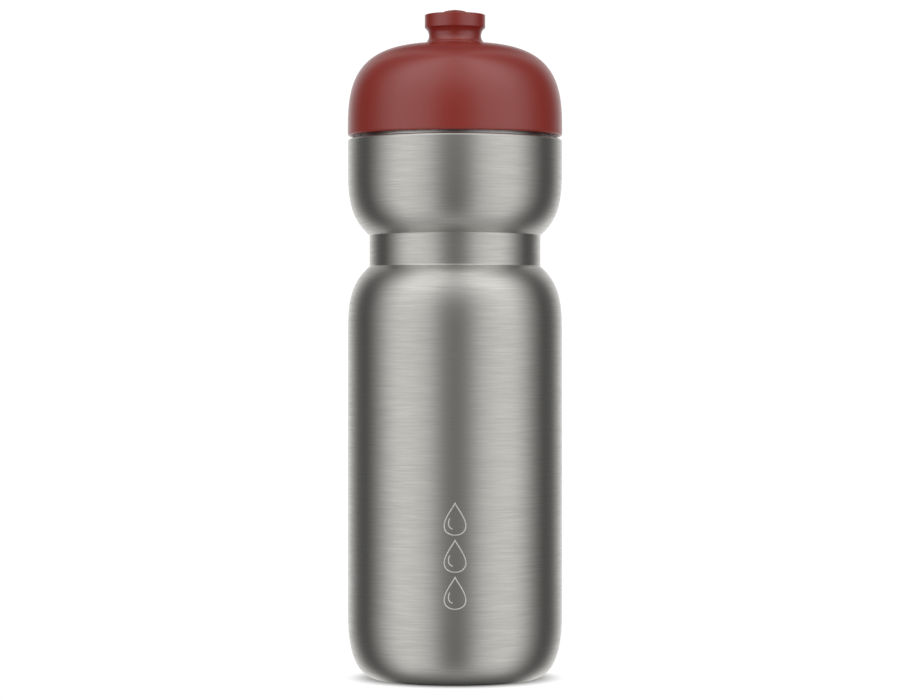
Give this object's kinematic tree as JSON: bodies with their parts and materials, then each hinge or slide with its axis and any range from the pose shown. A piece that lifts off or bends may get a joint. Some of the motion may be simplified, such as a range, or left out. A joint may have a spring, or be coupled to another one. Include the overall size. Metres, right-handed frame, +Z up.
{
  "type": "water bottle",
  "caption": "Insulated steel bicycle bottle with a waist for the cage, a domed red screw lid and a push-pull spout.",
  "frame": {"origin": "centre of the foot ring, on the surface the bottle stands on", "axes": "+Z up along the bottle's axis, -Y towards its front, +Y towards the lid's vent valve"},
  "size_m": [0.0742, 0.0742, 0.2311],
  "materials": {
    "brushed_steel": "fine brushed round the axis",
    "neck_steel": "satin, turned",
    "liner_steel": "electropolished satin",
    "shield_foil": "bright foil",
    "solder_glass": "dull glass bead",
    "getter_metal": "sintered matte",
    "silicone": "translucent white matte",
    "lid_plastic": "fine matte moulded grain",
    "mouthpiece": "soft matte",
    "stem_plastic": "smooth moulded",
    "insert_plastic": "smooth moulded"
  },
  "bodies": {
    "flask": {"outer_shell": "brushed_steel", "outer_base": "brushed_steel", "vacuum_plug": "solder_glass", "base_cover": "brushed_steel", "getter_clip": "liner_steel", "getter_pellet": "getter_metal", "liner_base": "liner_steel", "liner_tube": "liner_steel", "heat_shield_foil": "shield_foil", "neck_ring": "neck_steel"},
    "gasket": {"lid_gasket": "silicone"},
    "lid": {"lid_dome": "lid_plastic", "lid_insert": "insert_plastic", "spout_stem": "stem_plastic", "stem_seal": "silicone"},
    "vent": {"vent_valve": "silicone"},
    "nozzle_seal": {"nozzle_o_ring": "silicone"},
    "nozzle": {"nozzle_sleeve": "stem_plastic", "nozzle_shell": "mouthpiece"}
  },
  "joints": [
    {"name": "lid_lift", "type": "slide", "parent": "flask", "child": "gasket", "axis": [0, 0, 1], "range_m": [0, 0.01801]},
    {"name": "lid_turn", "type": "hinge", "parent": "gasket", "child": "lid", "pos_m": [0, 0, 0.2], "axis": [0, 0, 1], "range_deg": [0, 1080]},
    {"name": "vent_open", "type": "slide", "parent": "lid", "child": "vent", "axis": [0, 0, -1], "range_m": [0, 0.0006], "stiffness_N_per_m": 10, "springref_m": -0.001},
    {"name": "nozzle_pull", "type": "slide", "parent": "lid", "child": "nozzle_seal", "axis": [0, 0, 1], "range_m": [0, 0.0055]},
    {"name": "nozzle_turn", "type": "hinge", "parent": "nozzle_seal", "child": "nozzle", "pos_m": [0, 0, 0.22], "axis": [0, 0, 1], "continuous": true}
  ],
  "couplings": [
    {"joint": "lid_lift", "follows": "lid_turn", "m_per_rad": 0.00095493}
  ]
}
